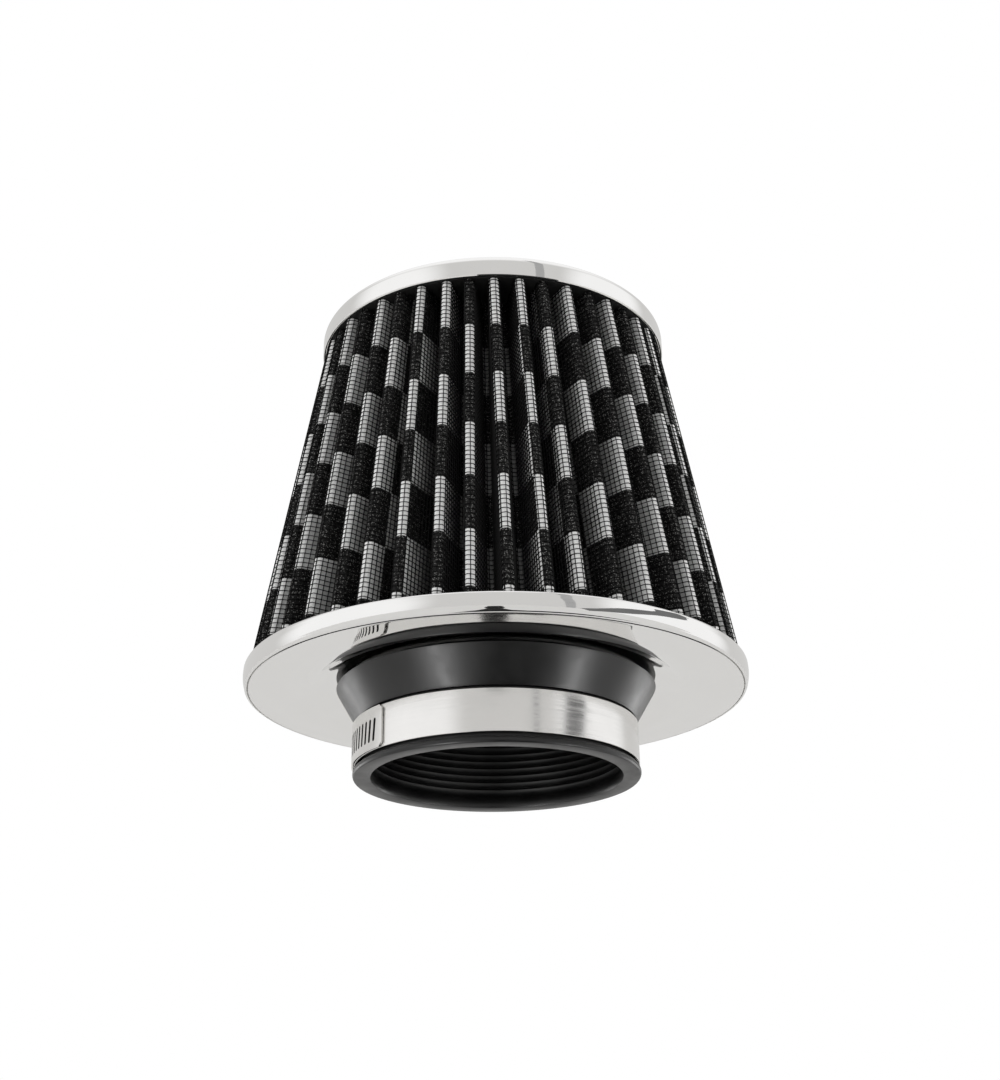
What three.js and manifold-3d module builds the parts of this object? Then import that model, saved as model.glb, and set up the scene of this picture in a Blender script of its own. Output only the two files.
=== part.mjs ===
// Round tapered intake air filter: a pleated cone between two chrome caps, on a rubber neck with a worm clamp.
// Millimetres, +Z up. The origin is the centre of the neck's open mouth, and -Y is the front.
import * as THREE from "three";
import { mergeVertices } from "three/addons/utils/BufferGeometryUtils.js";
import Module from "manifold-3d";

const wasm = await Module();
wasm.setup();

// Driving dimensions of the filter element.
const BORE_RADIUS = 38; // slides over a 76 mm intake pipe
const BASE_RADIUS = 77.6;
const CAP_RADIUS = 56.9;
const HEIGHT = 149.9;
const CAP_SKIRT = 7.5;
const SHELL_THICKNESS = 0.9;
const PLEAT_COUNT = 45;
const PLEAT_DEPTH = 15.5;
const PLEAT_FOOT = { z: 31.4, ridge: 76.15 };
const PLEAT_HEAD = { z: HEIGHT - CAP_SKIRT - 0.3, ridge: 56.2 };

// Layers of the pleat pack, as distances from its middle surface.
const MESH_LAYER = { low: 0.55, high: 0.85 };
const PLY_LAYER = { low: 0.05, high: 0.45 };
const FOLD_FLAT = 1.9; // width of a fold at the middle surface
const FOLD_SPREAD = 0.9; // how fast a fold widens away from the middle surface

// Driving dimensions of the neck and its clamp.
const NECK_TOP = 34.2;
const WAIST_RADIUS = 45.3;
const COLLAR = { radius: 49.2, z: 27.6 };
const FLANGE = { radius: 50, z: 30.7 };
const LIP = { radius: 43.7, height: 2.1, bulge: 0.6 };
const SEAT = { radius: 41.9, low: 2.3, high: 16.8, shoulder: 42.95 };
const BAND_WIDTH = 12.7;
const BAND_LOW = 3.2;
const BAND_MIDDLE = BAND_LOW + BAND_WIDTH / 2;
const STRIP_THICKNESS = 0.55;
const STRIP_GAP = 0.15;
const BAND_INNER = 42.8;
const TAIL_INNER = BAND_INNER + STRIP_THICKNESS + STRIP_GAP;
const TAIL_OUTER = TAIL_INNER + STRIP_THICKNESS;
const SLOT = { pitch: 2.5, width: 1.15, length: 6.9, lean: 5.5, offset: -0.65 };

// Angles round the neck, in degrees from +X, anticlockwise from above.
const HOUSING_ANGLE = 120;
const TAIL_END_ANGLE = 221.2;
const TAIL_ROOT_ANGLE = 110.7;
const BAND_JOIN_ANGLE = 117;
const BAND_SWEEP = 357;
const SADDLE_HALF_SWEEP = 9.5;

const WORM_RADIUS = 3.6;
const WORM_ROOT_RADIUS = 2.7;
const SCREW_AXIS_RADIUS = TAIL_OUTER + 0.25 + WORM_RADIUS;
const HOUSING_LENGTH = 15;
const HOUSING_WALL = 0.5;
const JOURNAL_RADIUS = 2.3;

const LATHE_SEGMENTS = 48;

const { degToRad } = THREE.MathUtils;
const point = (x, y) => new THREE.Vector2(x, y);

// A profile of (radius, height) points, anticlockwise, turned about Z.
function turned(profile, closed) {
  const points = closed ? [...profile, profile[0]] : profile;
  return new THREE.LatheGeometry(points, LATHE_SEGMENTS).rotateX(Math.PI / 2);
}

// The line at a distance to the left of an open line of points.
function offsetLine(line, distance) {
  return line.map((here, i) => {
    const before = line[Math.max(i - 1, 0)];
    const after = line[Math.min(i + 1, line.length - 1)];
    const along = after.clone().sub(before).normalize();
    return point(here.x - along.y * distance, here.y + along.x * distance);
  });
}

// A sheet-metal profile: the outside line, and the inside line on its left.
function sheetProfile(outside, thickness) {
  return [...offsetLine(outside, thickness).reverse(), ...outside];
}

// Conversions between a three.js geometry and a solid that can be joined and cut.
function toSolid(geometry) {
  const bare = geometry.clone();
  bare.deleteAttribute("normal");
  bare.deleteAttribute("uv");
  const merged = mergeVertices(bare, 1e-4);
  return new wasm.Manifold(
    new wasm.Mesh({
      numProp: 3,
      vertProperties: merged.attributes.position.array,
      triVerts: new Uint32Array(merged.index.array),
    }),
  );
}

function toGeometry(solid) {
  const mesh = solid.getMesh();
  const geometry = new THREE.BufferGeometry();
  geometry.setAttribute("position", new THREE.BufferAttribute(mesh.vertProperties, 3));
  geometry.setIndex(new THREE.BufferAttribute(mesh.triVerts, 1));
  geometry.computeVertexNormals();
  return geometry;
}

function joined(...geometries) {
  return toGeometry(geometries.map(toSolid).reduce((whole, next) => whole.add(next)));
}

function cut(geometry, ...cutters) {
  return toGeometry(cutters.map(toSolid).reduce((rest, next) => rest.subtract(next), toSolid(geometry)));
}

// Part of a flat hoop about Z, between two angles in degrees.
function hoop(inner, outer, low, high, from, to, curveSegments = 30) {
  const shape = new THREE.Shape();
  shape.absarc(0, 0, outer, degToRad(from), degToRad(to), false);
  shape.absarc(0, 0, inner, degToRad(to), degToRad(from), true);
  const extruded = new THREE.ExtrudeGeometry(shape, {
    depth: high - low,
    curveSegments,
    bevelEnabled: false,
  });
  return extruded.translate(0, 0, low);
}

// Chrome end caps.

function topCapShell() {
  const crownRadius = 2.6;
  const dish = { edge: 46, floor: 43, depth: 1.4 };
  const skirtTop = HEIGHT - crownRadius;
  const crown = new THREE.EllipseCurve(
    CAP_RADIUS - crownRadius, skirtTop, crownRadius, crownRadius, 0, Math.PI / 2,
  );
  const outside = [
    point(CAP_RADIUS, HEIGHT - CAP_SKIRT),
    ...crown.getPoints(4),
    point(dish.edge, HEIGHT),
    point(dish.floor, HEIGHT - dish.depth),
    point(0, HEIGHT - dish.depth),
  ];
  return turned(sheetProfile(outside, SHELL_THICKNESS), false);
}

function baseCapShell() {
  const holeRadius = WAIST_RADIUS + 0.3;
  const bead = { radius: 74.9, z: 29.5, height: 3.4 };
  const underside = new THREE.SplineCurve([
    point(holeRadius, 29.3),
    point(52, 29.2),
    point(55.5, 27.9),
    point(60, 26.4),
    point(66, 25.9),
    point(75.8, 26.1),
  ]);
  const rim = new THREE.EllipseCurve(
    bead.radius, bead.z, BASE_RADIUS - bead.radius, bead.height, degToRad(-58), 0,
  );
  const lip = [point(BASE_RADIUS - 0.05, 31.2), point(BASE_RADIUS - 0.3, 32.2)];
  const outside = [...underside.getPoints(8), ...rim.getPoints(4), ...lip];
  return turned(sheetProfile(outside, SHELL_THICKNESS), true);
}

// Moulded rings that the ends of the pleat pack are potted in.

function upperPottingDisc() {
  const outer = CAP_RADIUS - SHELL_THICKNESS - 0.3;
  const top = HEIGHT - 1.4 - SHELL_THICKNESS - 0.3;
  const low = HEIGHT - CAP_SKIRT;
  const core = { radius: 37, rise: 1.5 };
  return turned([
    point(0, low + core.rise),
    point(core.radius, low + core.rise),
    point(core.radius + core.rise, low),
    point(outer, low),
    point(outer, top),
    point(0, top),
  ], false);
}

function lowerPottingRing() {
  const [inner, outer, low, high] = [58, 75.7, 28.1, PLEAT_FOOT.z - 0.3];
  return turned([
    point(inner, low),
    point(outer, low),
    point(outer, high),
    point(inner, high),
  ], true);
}

// The pleat pack. One ring of the folded sheet, at a distance outwards from its middle surface.
function pleatRing(ridgeRadius, offset) {
  const tipRadius = ridgeRadius - MESH_LAYER.high;
  const ring = [];
  for (let fold = 0; fold < 2 * PLEAT_COUNT; fold += 1) {
    const isTip = fold % 2 === 0;
    const radius = (isTip ? tipRadius : tipRadius - PLEAT_DEPTH) + offset;
    const half = FOLD_FLAT / 2 + (isTip ? offset : -offset) * FOLD_SPREAD;
    const turn = (fold * Math.PI) / PLEAT_COUNT;
    for (const side of [-half, half]) {
      ring.push(point(radius, side).rotateAround(point(0, 0), turn));
    }
  }
  return ring;
}

// A pleated sleeve between two distances from the middle surface.
function pleatedSleeve(low, high) {
  const loops = [
    [PLEAT_FOOT, high],
    [PLEAT_HEAD, high],
    [PLEAT_HEAD, low],
    [PLEAT_FOOT, low],
  ].map(([end, offset]) => pleatRing(end.ridge, offset).map(({ x, y }) => [x, y, end.z]));
  const size = loops[0].length;
  const index = [];
  for (let loop = 0; loop < loops.length; loop += 1) {
    const here = loop * size;
    const above = ((loop + 1) % loops.length) * size;
    // Every layer's walls are split along the same diagonal, so that twisted walls stay parallel.
    const rising = loop < 2;
    for (let i = 0; i < size; i += 1) {
      const j = (i + 1) % size;
      const [b, c] = [here + j, above + j];
      const [a, d] = [here + i, above + i];
      index.push(...(rising ? [a, b, c, a, c, d] : [a, b, d, b, c, d]));
    }
  }
  const geometry = new THREE.BufferGeometry();
  geometry.setAttribute("position", new THREE.Float32BufferAttribute(loops.flat(2), 3));
  geometry.setIndex(index);
  geometry.computeVertexNormals();
  return geometry;
}

// A channel pressed over one inner fold, where the two ends of the pleated sheet meet.
function mediaSeamClip() {
  const channel = { wall: 0.5, inside: 2.3, depth: 1.5, gap: 0.3 };
  const foldInner = PLEAT_DEPTH + 2 * MESH_LAYER.high;
  const run = PLEAT_HEAD.z - PLEAT_FOOT.z;
  const fall = PLEAT_FOOT.ridge - PLEAT_HEAD.ridge;
  const back = -channel.gap - channel.wall;
  const half = channel.inside + channel.wall;
  const shape = new THREE.Shape([
    point(back, -half),
    point(channel.depth, -half),
    point(channel.depth, -channel.inside),
    point(-channel.gap, -channel.inside),
    point(-channel.gap, channel.inside),
    point(channel.depth, channel.inside),
    point(channel.depth, half),
    point(back, half),
  ]);
  const length = Math.hypot(run, fall) - 2;
  const bar = new THREE.ExtrudeGeometry(shape, { depth: length, bevelEnabled: false });
  bar.rotateY(-Math.atan2(fall, run));
  bar.translate(PLEAT_FOOT.ridge - foldInner - fall / run, 0, PLEAT_FOOT.z + 1);
  const foldTurn = Math.PI / PLEAT_COUNT;
  return bar.rotateZ(23 * foldTurn);
}

// The moulded neck: mouth lip, clamp seat, cone, collar, waist in the base cap's hole, and inner flange.
function rubberNeck() {
  const lip = new THREE.EllipseCurve(
    LIP.radius - LIP.bulge, LIP.height / 2, LIP.bulge, LIP.height / 2, -Math.PI / 2, Math.PI / 2,
  );
  return turned([
    point(BORE_RADIUS, 0),
    ...lip.getPoints(5),
    point(SEAT.radius, SEAT.low),
    point(SEAT.radius, SEAT.high),
    point(SEAT.shoulder, SEAT.high + 0.1),
    point(COLLAR.radius, COLLAR.z),
    point(WAIST_RADIUS, COLLAR.z + 0.3),
    point(WAIST_RADIUS, FLANGE.z),
    point(FLANGE.radius, FLANGE.z),
    point(FLANGE.radius, NECK_TOP - 0.8),
    point(BORE_RADIUS, NECK_TOP),
  ], true);
}

// The worm clamp. Its strip is one piece of steel, held here as a fixed band and a sliding slotted tail.

function clampBand() {
  return hoop(
    BAND_INNER, BAND_INNER + STRIP_THICKNESS, BAND_LOW, BAND_LOW + BAND_WIDTH,
    BAND_JOIN_ANGLE, BAND_JOIN_ANGLE + BAND_SWEEP,
  );
}

// A cutter for one slot, leaning with the worm's thread, at an angle round the neck.
function slotCutter(angle) {
  const box = new THREE.BoxGeometry(3 * STRIP_THICKNESS, SLOT.width, SLOT.length);
  box.rotateX(-degToRad(SLOT.lean));
  box.translate(TAIL_INNER + STRIP_THICKNESS / 2, 0, BAND_MIDDLE + SLOT.offset);
  return box.rotateZ(degToRad(angle));
}

// A cutter for one corner of the tail's free end.
function cornerCutter(z) {
  const box = new THREE.BoxGeometry(3 * STRIP_THICKNESS, 3.2, 3.2);
  box.rotateX(Math.PI / 4);
  box.translate(TAIL_INNER + STRIP_THICKNESS / 2, 0, z);
  return box.rotateZ(degToRad(TAIL_END_ANGLE));
}

function clampBandTail() {
  const pitchAngle = THREE.MathUtils.radToDeg(SLOT.pitch / (TAIL_INNER + STRIP_THICKNESS / 2));
  const strip = hoop(
    TAIL_INNER, TAIL_OUTER, BAND_LOW, BAND_LOW + BAND_WIDTH, TAIL_ROOT_ANGLE, TAIL_END_ANGLE, 14,
  );
  const cutters = [cornerCutter(BAND_LOW), cornerCutter(BAND_LOW + BAND_WIDTH)];
  const firstSlot = TAIL_END_ANGLE - 1.5 * pitchAngle;
  for (let angle = firstSlot; angle > TAIL_ROOT_ANGLE + pitchAngle / 2; angle -= pitchAngle) {
    cutters.push(slotCutter(angle));
  }
  return cut(strip, ...cutters);
}

// The saddle: a curved channel under the band, with a wall along each edge of it.
function clampSaddle() {
  const [from, to] = [HOUSING_ANGLE - SADDLE_HALF_SWEEP, HOUSING_ANGLE + SADDLE_HALF_SWEEP];
  const base = { inner: 42.15, outer: BAND_INNER - STRIP_GAP };
  const wall = { outer: 44.9, thickness: 0.55 };
  const low = BAND_LOW - STRIP_GAP - wall.thickness;
  const high = BAND_LOW + BAND_WIDTH + STRIP_GAP;
  return joined(
    hoop(base.inner, base.outer, low, high + wall.thickness, from, to, 4),
    hoop(base.inner, wall.outer, low, low + wall.thickness, from, to, 4),
    hoop(base.inner, wall.outer, high, high + wall.thickness, from, to, 4),
  );
}

// Stands a geometry made along +Z in the screw's frame: +Z becomes the screw's axis at the housing.
function alongScrew(geometry) {
  geometry.rotateX(-Math.PI / 2);
  geometry.translate(SCREW_AXIS_RADIUS, 0, BAND_MIDDLE);
  return geometry.rotateZ(degToRad(HOUSING_ANGLE));
}

function ringAlongZ(inner, outer, from, to) {
  const shape = new THREE.Shape().absarc(0, 0, outer, 0, 2 * Math.PI);
  shape.holes.push(new THREE.Path().absarc(0, 0, inner, 0, 2 * Math.PI));
  const ring = new THREE.ExtrudeGeometry(shape, {
    depth: to - from,
    curveSegments: 12,
    bevelEnabled: false,
  });
  return ring.translate(0, 0, from);
}

// The housing: an arch over the screw with shoulders and legs, and a plate at each end of the screw.
function clampHousing() {
  const arch = WORM_RADIUS + 0.4;
  const legHalf = BAND_WIDTH / 2 + 0.85;
  const legLow = 44.2 - SCREW_AXIS_RADIUS;
  const shoulder = legLow + 1.8;
  const outer = { arch: arch + HOUSING_WALL, half: legHalf + HOUSING_WALL, shoulder };
  const inner = { arch, half: legHalf, shoulder: shoulder - HOUSING_WALL };
  const wallLine = ({ arch: radius, half, shoulder: level }) => {
    const start = Math.asin(level / radius);
    const curve = new THREE.EllipseCurve(0, 0, radius, radius, start, Math.PI - start);
    const line = [point(half, legLow), point(half, level), ...curve.getPoints(12)];
    return [...line, point(-half, level), point(-half, legLow)];
  };
  const outline = [...wallLine(outer), ...wallLine(inner).reverse()];
  // The outline's x runs along the band's width and its y runs outwards from the neck.
  const shape = new THREE.Shape(outline.map(({ x, y }) => point(y, -x)));
  const cover = new THREE.ExtrudeGeometry(shape, { depth: HOUSING_LENGTH, bevelEnabled: false });
  cover.translate(0, 0, -HOUSING_LENGTH / 2);
  const plate = 0.8;
  const half = HOUSING_LENGTH / 2;
  return joined(
    alongScrew(cover),
    alongScrew(ringAlongZ(JOURNAL_RADIUS + 0.3, arch + 0.2, -half, plate - half)),
    alongScrew(ringAlongZ(JOURNAL_RADIUS + 0.3, arch + 0.2, half - plate, half)),
  );
}

// The worm: a cylinder whose radius follows a right-hand helix.
function worm(length) {
  const sides = 14;
  const steps = Math.round((6 * length) / SLOT.pitch);
  const middle = (WORM_RADIUS + WORM_ROOT_RADIUS) / 2;
  const swing = (WORM_RADIUS - WORM_ROOT_RADIUS) / 2;
  const body = new THREE.CylinderGeometry(middle, middle, length, sides, steps).rotateX(Math.PI / 2);
  const place = body.attributes.position;
  for (let i = 0; i < place.count; i += 1) {
    const [x, y, z] = [place.getX(i), place.getY(i), place.getZ(i)];
    const reach = Math.hypot(x, y);
    if (reach < middle / 2 || Math.abs(z) > length / 2 - 0.01) continue;
    const phase = Math.cos((2 * Math.PI * z) / SLOT.pitch - Math.atan2(y, x));
    const scale = (middle + swing * phase) / reach;
    place.setXY(i, x * scale, y * scale);
  }
  return body;
}

// The screw along +Z: worm, journals in the end plates, collar, and a slotted hexagon head.
function clampScrew() {
  const wormLength = HOUSING_LENGTH - 2.2;
  const collar = { radius: 4, length: 0.8 };
  const head = { radius: 4, length: 4.6 };
  const slot = { width: 1.1, depth: 1.6 };
  const shaftFrom = -HOUSING_LENGTH / 2 - 0.9;
  const collarFrom = HOUSING_LENGTH / 2 + 0.3;
  const rod = (radius, from, length, sides) => {
    const cylinder = new THREE.CylinderGeometry(radius, radius, length, sides).rotateX(Math.PI / 2);
    return cylinder.translate(0, 0, from + length / 2);
  };
  const headTop = collarFrom + collar.length + head.length;
  const slotBox = new THREE.BoxGeometry(3 * head.radius, slot.width, 2 * slot.depth);
  const whole = joined(
    worm(wormLength),
    rod(JOURNAL_RADIUS, shaftFrom, collarFrom - shaftFrom + 0.4, 18),
    rod(collar.radius, collarFrom, collar.length, 24),
    rod(head.radius, collarFrom + collar.length - 0.1, head.length + 0.1, 6),
  );
  return alongScrew(cut(whole, slotBox.translate(0, 0, headTop)));
}

function material(color, metalness, roughness) {
  return new THREE.MeshStandardMaterial({ color, metalness, roughness });
}

const chrome = () => material(0xd2d0cd, 1, 0.06);
const clampSteel = () => material(0xc9c7c2, 1, 0.22);
const blackWire = () => material(0x141414, 0.3, 0.5);
const urethane = () => material(0x1a1a1a, 0, 0.6);

const pieces = [
  ["top_cap_shell", topCapShell(), chrome()],
  ["upper_potting_disc", upperPottingDisc(), urethane()],
  ["outer_wire_mesh", pleatedSleeve(MESH_LAYER.low, MESH_LAYER.high), blackWire()],
  ["checked_fabric_ply", pleatedSleeve(PLY_LAYER.low, PLY_LAYER.high), material(0x9b9b99, 0, 0.8)],
  ["cotton_gauze_ply", pleatedSleeve(-PLY_LAYER.high, -PLY_LAYER.low), material(0xd8d4ca, 0, 0.9)],
  ["inner_wire_mesh", pleatedSleeve(-MESH_LAYER.high, -MESH_LAYER.low), blackWire()],
  ["media_seam_clip", mediaSeamClip(), material(0xb8b8b8, 1, 0.4)],
  ["lower_potting_ring", lowerPottingRing(), urethane()],
  ["base_cap_shell", baseCapShell(), chrome()],
  ["rubber_neck", rubberNeck(), material(0x111212, 0, 0.55)],
  ["clamp_band", clampBand(), clampSteel()],
  ["clamp_band_tail", clampBandTail(), clampSteel()],
  ["clamp_saddle", clampSaddle(), clampSteel()],
  ["clamp_housing", clampHousing(), clampSteel()],
  ["clamp_screw", clampScrew(), clampSteel()],
];

const airFilter = new THREE.Group();
for (const [name, geometry, look] of pieces) {
  const mesh = new THREE.Mesh(geometry, look);
  mesh.name = name;
  airFilter.add(mesh);
}

export default airFilter;
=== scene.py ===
"""Looks for the round tapered air filter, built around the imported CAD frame. Metres, +Z up, front is -Y."""
import math
import random

import bmesh
import bpy
import numpy as np
from mathutils import Matrix, Vector

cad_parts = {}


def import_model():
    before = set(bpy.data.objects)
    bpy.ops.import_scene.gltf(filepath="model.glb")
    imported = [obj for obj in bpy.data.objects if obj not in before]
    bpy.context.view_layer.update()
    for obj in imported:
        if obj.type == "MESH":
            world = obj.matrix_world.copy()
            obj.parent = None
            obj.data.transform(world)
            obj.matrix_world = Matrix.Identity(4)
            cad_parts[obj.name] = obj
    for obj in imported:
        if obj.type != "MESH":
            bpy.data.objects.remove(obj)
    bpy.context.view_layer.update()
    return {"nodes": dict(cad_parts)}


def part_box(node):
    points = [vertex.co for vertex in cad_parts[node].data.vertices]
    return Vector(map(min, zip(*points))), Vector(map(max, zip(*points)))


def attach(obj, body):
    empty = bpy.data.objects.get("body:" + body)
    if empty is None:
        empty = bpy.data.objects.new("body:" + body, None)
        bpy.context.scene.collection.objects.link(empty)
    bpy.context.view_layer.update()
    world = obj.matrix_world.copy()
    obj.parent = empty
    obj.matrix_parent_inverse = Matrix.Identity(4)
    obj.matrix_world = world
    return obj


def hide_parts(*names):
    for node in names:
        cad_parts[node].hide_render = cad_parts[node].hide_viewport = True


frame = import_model()

MM = 0.001
SEED = 7

# Sizes read from the frame, in millimetres.
BASE_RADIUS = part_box("base_cap_shell")[1].x / MM
BASE_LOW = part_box("base_cap_shell")[0].z / MM
CAP_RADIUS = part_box("top_cap_shell")[1].x / MM
CAP_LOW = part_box("top_cap_shell")[0].z / MM
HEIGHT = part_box("top_cap_shell")[1].z / MM
PLEAT_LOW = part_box("outer_wire_mesh")[0].z / MM
PLEAT_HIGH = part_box("outer_wire_mesh")[1].z / MM
NECK_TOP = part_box("rubber_neck")[1].z / MM
BAND_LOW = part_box("clamp_band")[0].z / MM
BAND_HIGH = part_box("clamp_band")[1].z / MM
BAND_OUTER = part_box("clamp_band")[1].x / MM
BAND_MIDDLE = (BAND_LOW + BAND_HIGH) / 2

# Pleats whose ridges lean in from the base to the top cap.
PLEATS = 45
RIDGE_FOOT = 76.15
RIDGE_HEAD = 56.2
PLEAT_DEPTH = 15.5
RIDGE_CURL = 0.95
ROOT_CURL = 1.7
PACK_HALF = 0.85
FIRST_RIDGE = math.radians(-89.2)
FOOT_TWIST = math.radians(2.4)
RIDGE_ARC = math.radians(84)
ROOT_ARC = math.radians(78)
RIDGE_STEPS = 5
ROOT_STEPS = 3

# Checked fabric: rows up the pleats and columns round the unfolded sheet.
ROW_HEIGHT = 17.95
ROW_START = 34.6
COLUMN_PLEATS = 0.875
COLUMN_START = 0.95

# Layers of the pleat pack, as distances from its middle surface, and the wire cloth over them.
PLY_LOW = 0.05
PLY_HIGH = 0.5
RING_WIRES = 74
RING_BASE = 0.53
RING_TIP = 0.8
UPRIGHTS_PER_PLEAT = 19
UPRIGHT_BASE = 0.56
UPRIGHT_TIP = 0.85
WIRE_HALF = 0.13

# End caps and neck.
SHEET = 0.9
CREASE_IN = 75.9
CREASE_OUT = 76.35
CREASE_DEPTH = 0.7
BORE_RADIUS = 38.0

# The clamp, with angles in degrees round the neck from +X.
STRIP = 0.55
TAIL_INNER = BAND_OUTER + 0.15
BAND_START = 117
BAND_SWEEP = 357
HOUSING_ANGLE = 120
SADDLE_HALF_SWEEP = 9.5
TAIL_END = 221.2
TAIL_ROOT = 110.7
SLOT_PITCH = 2.5
WORM_RADIUS = 3.6
SCREW_RADIUS = TAIL_INNER + STRIP + 0.25 + WORM_RADIUS
HOUSING_LENGTH = 15.0
HOUSING_WALL = 0.5
HOUSING_RADIUS = WORM_RADIUS + 0.4


# ---------------------------------------------------------------- mesh helpers

def new_object(name, vertices, faces, smooth_angle=None):
    """An object from millimetre vertices, smooth where faces meet at less than smooth_angle degrees."""
    mesh = bpy.data.meshes.new(name)
    mesh.from_pydata([tuple(c * MM for c in v) for v in vertices], [], faces)
    mesh.validate()
    obj = bpy.data.objects.new(name, mesh)
    bpy.context.scene.collection.objects.link(obj)
    if smooth_angle is not None:
        shade(obj, smooth_angle)
    return obj


def shade(obj, angle):
    """Smooth shading, with sharp edges where faces meet at more than an angle in degrees."""
    mesh = obj.data
    mesh.polygons.foreach_set("use_smooth", [True] * len(mesh.polygons))
    mesh.set_sharp_from_angle(angle=math.radians(angle))
    mesh.update()


def apply_modifiers(obj):
    """Gives the object the mesh that its modifiers make."""
    graph = bpy.context.evaluated_depsgraph_get()
    mesh = bpy.data.meshes.new_from_object(obj.evaluated_get(graph), depsgraph=graph)
    obj.modifiers.clear()
    obj.data = mesh


def bevel(obj, width, segments=2, angle=35):
    """Rounds every edge sharper than an angle in degrees."""
    modifier = obj.modifiers.new("bevel", "BEVEL")
    modifier.width = width * MM
    modifier.segments = segments
    modifier.limit_method = "ANGLE"
    modifier.angle_limit = math.radians(angle)
    modifier.harden_normals = False
    apply_modifiers(obj)


def cut(obj, cutter):
    """Takes the cutter out of the object."""
    modifier = obj.modifiers.new("cut", "BOOLEAN")
    modifier.operation = "DIFFERENCE"
    modifier.solver = "EXACT"
    modifier.object = cutter
    apply_modifiers(obj)
    bpy.data.objects.remove(cutter)


def arc(centre, radii, start, end, steps):
    """Points of an ellipse arc; angles in degrees."""
    points = []
    for i in range(steps + 1):
        angle = math.radians(start + (end - start) * i / steps)
        points.append((centre[0] + radii[0] * math.cos(angle), centre[1] + radii[1] * math.sin(angle)))
    return points


def spline(knots, steps):
    """A Catmull-Rom curve through the knots, with steps points to each span."""
    ends = [tuple(2 * a - b for a, b in zip(knots[0], knots[1]))]
    ends += knots
    ends += [tuple(2 * a - b for a, b in zip(knots[-1], knots[-2]))]
    points = []
    for i in range(1, len(ends) - 2):
        before, here, after, beyond = (Vector(p) for p in ends[i - 1:i + 3])
        for step in range(steps):
            t = step / steps
            point = here + (after - before) * (t / 2)
            point += (2 * before - 5 * here + 4 * after - beyond) * (t * t / 2)
            point += (3 * here - before - 3 * after + beyond) * (t ** 3 / 2)
            points.append(tuple(point))
    return points + [tuple(knots[-1])]


def inset(line, distance):
    """The line at a distance to the left of an open line of (radius, height) points."""
    moved = []
    for i, (r, z) in enumerate(line):
        before = line[max(i - 1, 0)]
        after = line[min(i + 1, len(line) - 1)]
        along = Vector((after[0] - before[0], after[1] - before[1])).normalized()
        moved.append((r - along.y * distance, z + along.x * distance))
    return moved


def lathe(name, profile, segments=256, smooth_angle=30, closed=True):
    """A profile of (radius, height) points, anticlockwise, turned about Z. An open one ends on the axis."""
    count = len(profile)
    vertices = []
    for i in range(segments):
        angle = 2 * math.pi * i / segments
        cos, sin = math.cos(angle), math.sin(angle)
        vertices += [(r * cos, r * sin, z) for r, z in profile]
    faces = []
    for i in range(segments):
        here, there = i * count, (i + 1) % segments * count
        for j in range(count if closed else count - 1):
            k = (j + 1) % count
            faces.append((here + j, there + j, there + k, here + k))
    obj = new_object(name, vertices, faces)
    mesh = bmesh.new()
    mesh.from_mesh(obj.data)
    bmesh.ops.remove_doubles(mesh, verts=mesh.verts, dist=1e-7)
    bmesh.ops.dissolve_degenerate(mesh, edges=mesh.edges, dist=1e-8)
    mesh.to_mesh(obj.data)
    mesh.free()
    shade(obj, smooth_angle)
    return obj


def swept_hoop(name, section, start, end, step=1.5):
    """A closed section of (radius, height) points, anticlockwise, swept round Z; angles in degrees."""
    count = len(section)
    stations = max(2, round((end - start) / step)) + 1
    vertices = []
    for i in range(stations):
        angle = math.radians(start + (end - start) * i / (stations - 1))
        vertices += [(r * math.cos(angle), r * math.sin(angle), z) for r, z in section]
    faces = [tuple(range(count)), tuple(reversed(range((stations - 1) * count, stations * count)))]
    for i in range(stations - 1):
        here, there = i * count, (i + 1) * count
        for j in range(count):
            k = (j + 1) % count
            faces.append((here + j, there + j, there + k, here + k))
    return new_object(name, vertices, faces)


def extrude(name, outline, low, high):
    """A flat outline of (x, y) points, anticlockwise, raised along Z."""
    count = len(outline)
    vertices = [(x, y, low) for x, y in outline] + [(x, y, high) for x, y in outline]
    faces = [tuple(reversed(range(count))), tuple(range(count, 2 * count))]
    faces += [(i, (i + 1) % count, count + (i + 1) % count, count + i) for i in range(count)]
    return new_object(name, vertices, faces)


def rectangle(left, right, low, high):
    """The corners of an upright rectangle, anticlockwise."""
    return [(left, low), (right, low), (right, high), (left, high)]


def join(objects):
    """Joins the meshes of several objects into the first."""
    whole = bmesh.new()
    for obj in objects:
        whole.from_mesh(obj.data)
    whole.to_mesh(objects[0].data)
    whole.free()
    for obj in objects[1:]:
        bpy.data.objects.remove(obj)
    return objects[0]


def place(obj, matrix):
    """Moves the mesh itself, so that the object stays at the origin."""
    obj.data.transform(matrix)
    obj.data.update()
    return obj


# ---------------------------------------------------------------- materials

def new_material(name):
    """A node material, with its tree and its Principled shader."""
    material = bpy.data.materials.new(name)
    material.use_nodes = True
    tree = material.node_tree
    return material, tree, tree.nodes["Principled BSDF"]


def node(tree, kind, inputs=None, **settings):
    """A node with its input values and its settings."""
    made = tree.nodes.new(kind)
    for key, value in settings.items():
        setattr(made, key, value)
    for key, value in (inputs or {}).items():
        made.inputs[key].default_value = value
    return made


def math_node(tree, operation, a, b=None, clamp=False):
    """A math node over numbers or other nodes' outputs."""
    made = tree.nodes.new("ShaderNodeMath")
    made.operation = operation
    made.use_clamp = clamp
    for socket, value in zip(made.inputs, (a, b)):
        if value is None:
            continue
        if isinstance(value, (int, float)):
            socket.default_value = value
        else:
            tree.links.new(value, socket)
    return made.outputs[0]


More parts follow.
